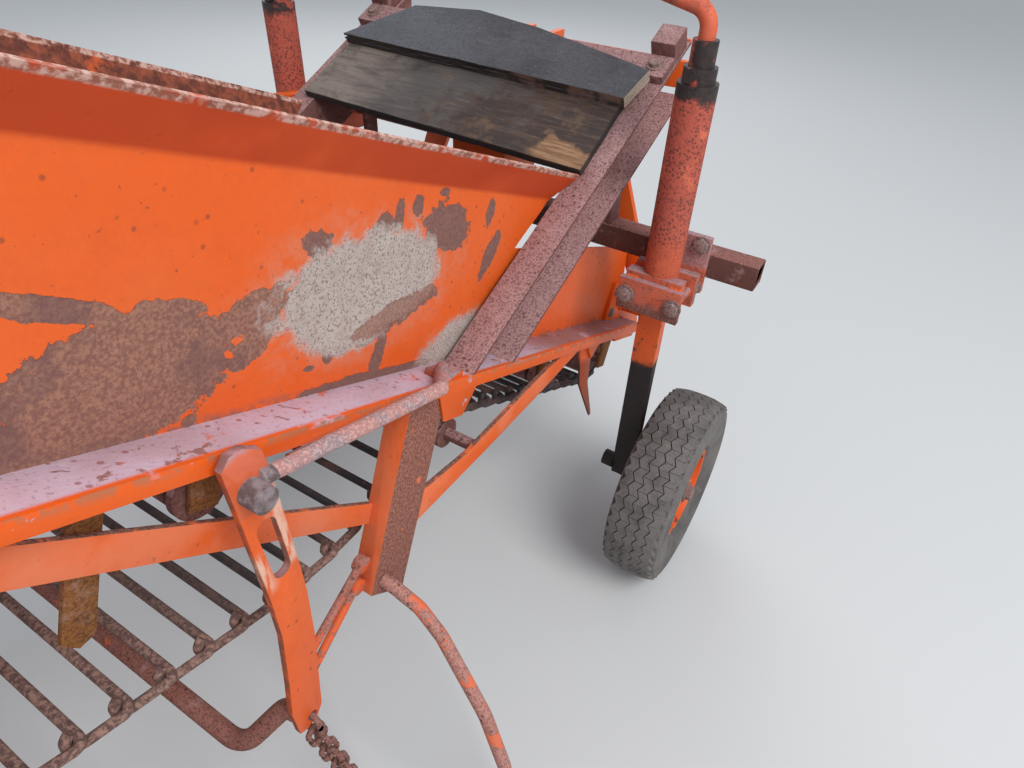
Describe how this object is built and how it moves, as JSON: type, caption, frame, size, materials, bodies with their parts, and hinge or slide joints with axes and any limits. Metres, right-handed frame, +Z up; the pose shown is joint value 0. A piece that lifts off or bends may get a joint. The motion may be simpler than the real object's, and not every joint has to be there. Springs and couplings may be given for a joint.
{
  "type": "single-row potato digger",
  "caption": "Three-point mounted elevator potato digger: pointed share, rising rod web between orange side sheets, sloping beams, crank-set depth wheels and rear carrying wheels.",
  "frame": {"origin": "middle of the outline on the ground, under the centre plane", "axes": "+X forward to the share and hitch, +Y to the machine's left, +Z up"},
  "size_m": [1.8799, 1.182, 1.3122],
  "materials": {
    "orange_paint": "chipped orange paint with rust patches",
    "rusty_steel": "granular pinkish-brown rust",
    "dark_steel": "dark, greasy and rusted steel",
    "board_wood": "grey weathered board",
    "tyre_rubber": "dusty brown-grey rubber"
  },
  "bodies": {
    "frame": {"side_sheet_right": "orange_paint", "side_sheet_left": "orange_paint", "flange_rail_right": "rusty_steel", "flange_rail_left": "rusty_steel", "main_beam_right": "rusty_steel", "main_beam_left": "rusty_steel", "top_cross_iron": "rusty_steel", "headstock": "orange_paint", "lower_hitch_right": "orange_paint", "lower_hitch_left": "orange_paint", "deck_board_upper": "board_wood", "deck_board_lower": "board_wood", "strut_cross_bar": "rusty_steel", "strut_clamp_right": "orange_paint", "strut_clamp_left": "orange_paint", "strut_tube_right": "rusty_steel", "strut_tube_left": "rusty_steel", "crank_right": "orange_paint", "crank_left": "orange_paint", "post_right": "orange_paint", "post_left": "orange_paint", "lower_bars_right": "orange_paint", "lower_bars_left": "orange_paint", "side_rod_right": "rusty_steel", "side_rod_left": "rusty_steel", "hanger_lever_right": "orange_paint", "hanger_lever_left": "orange_paint", "lever_links_right": "rusty_steel", "lever_links_left": "rusty_steel", "hoop_bar": "rusty_steel", "hang_chain": "rusty_steel", "rod_web": "dark_steel", "web_rollers": "rusty_steel", "drive_shaft": "rusty_steel", "roller_hangers": "rusty_steel", "share": "rusty_steel", "share_cheeks": "orange_paint", "gearbox": "orange_paint", "input_shaft": "rusty_steel", "cross_shaft": "rusty_steel", "drive_guard": "orange_paint", "rear_leg_right": "orange_paint", "rear_leg_left": "orange_paint", "rear_cross_tube": "orange_paint"},
    "leg_right": {"depth_leg_right": "dark_steel"},
    "leg_left": {"depth_leg_left": "dark_steel"},
    "front_wheel_right": {"front_tyre_right": "tyre_rubber", "front_rim_right": "orange_paint"},
    "front_wheel_left": {"front_tyre_left": "tyre_rubber", "front_rim_left": "orange_paint"},
    "rear_wheel_right": {"rear_tyre_right": "tyre_rubber", "rear_rim_right": "orange_paint"},
    "rear_wheel_left": {"rear_tyre_left": "tyre_rubber", "rear_rim_left": "orange_paint"}
  },
  "joints": [
    {"name": "depth_slide_right", "type": "slide", "parent": "frame", "child": "leg_right", "axis": [0, 0, 1], "range_m": [0, 0.18]},
    {"name": "front_wheel_spin_right", "type": "hinge", "parent": "leg_right", "child": "front_wheel_right", "pos_m": [0.527, -0.532, 0.202], "axis": [0, 1, 0], "continuous": true},
    {"name": "rear_wheel_spin_right", "type": "hinge", "parent": "frame", "child": "rear_wheel_right", "pos_m": [-0.69, -0.425, 0.25], "axis": [0, 1, 0], "continuous": true},
    {"name": "depth_slide_left", "type": "slide", "parent": "frame", "child": "leg_left", "axis": [0, 0, 1], "range_m": [0, 0.18]},
    {"name": "front_wheel_spin_left", "type": "hinge", "parent": "leg_left", "child": "front_wheel_left", "pos_m": [0.527, 0.532, 0.202], "axis": [0, 1, 0], "continuous": true},
    {"name": "rear_wheel_spin_left", "type": "hinge", "parent": "frame", "child": "rear_wheel_left", "pos_m": [-0.69, 0.425, 0.25], "axis": [0, 1, 0], "continuous": true}
  ]
}
